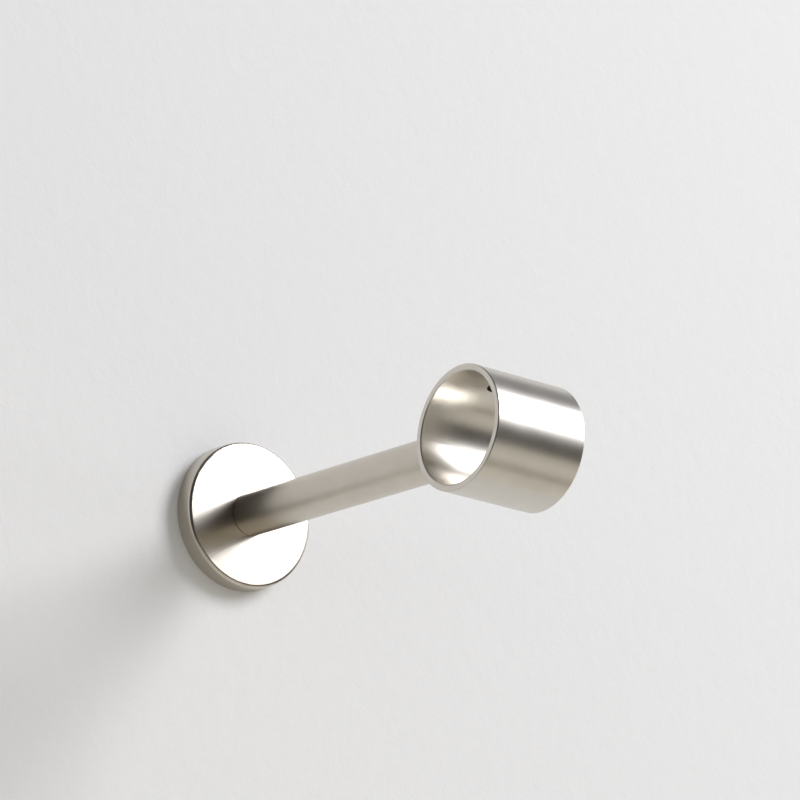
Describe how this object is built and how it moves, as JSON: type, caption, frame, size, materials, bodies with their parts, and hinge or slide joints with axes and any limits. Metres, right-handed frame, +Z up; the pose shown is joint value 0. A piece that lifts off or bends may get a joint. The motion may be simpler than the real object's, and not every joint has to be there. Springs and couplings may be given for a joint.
{
  "type": "curtain rod bracket",
  "caption": "Wall bracket that carries a curtain rod in a short open ring at the end of a straight round arm, with a round plate over a hidden mounting disc.",
  "frame": {"origin": "on the wall, at the centre of the mounting disc's back face, midway between its screw holes", "axes": "+Y into the wall, so the arm points to -Y; X along the wall and along the rod; +Z up"},
  "size_m": [0.0454, 0.1455, 0.0454],
  "materials": {
    "satin_nickel": "satin",
    "zinc_steel": "satin",
    "black_steel": "satin"
  },
  "bodies": {
    "root": {"wall_plate": "satin_nickel", "mounting_disc": "zinc_steel", "arm_stud": "zinc_steel", "arm": "satin_nickel", "rod_ring": "satin_nickel", "rod_set_screw": "black_steel"}
  },
  "joints": []
}
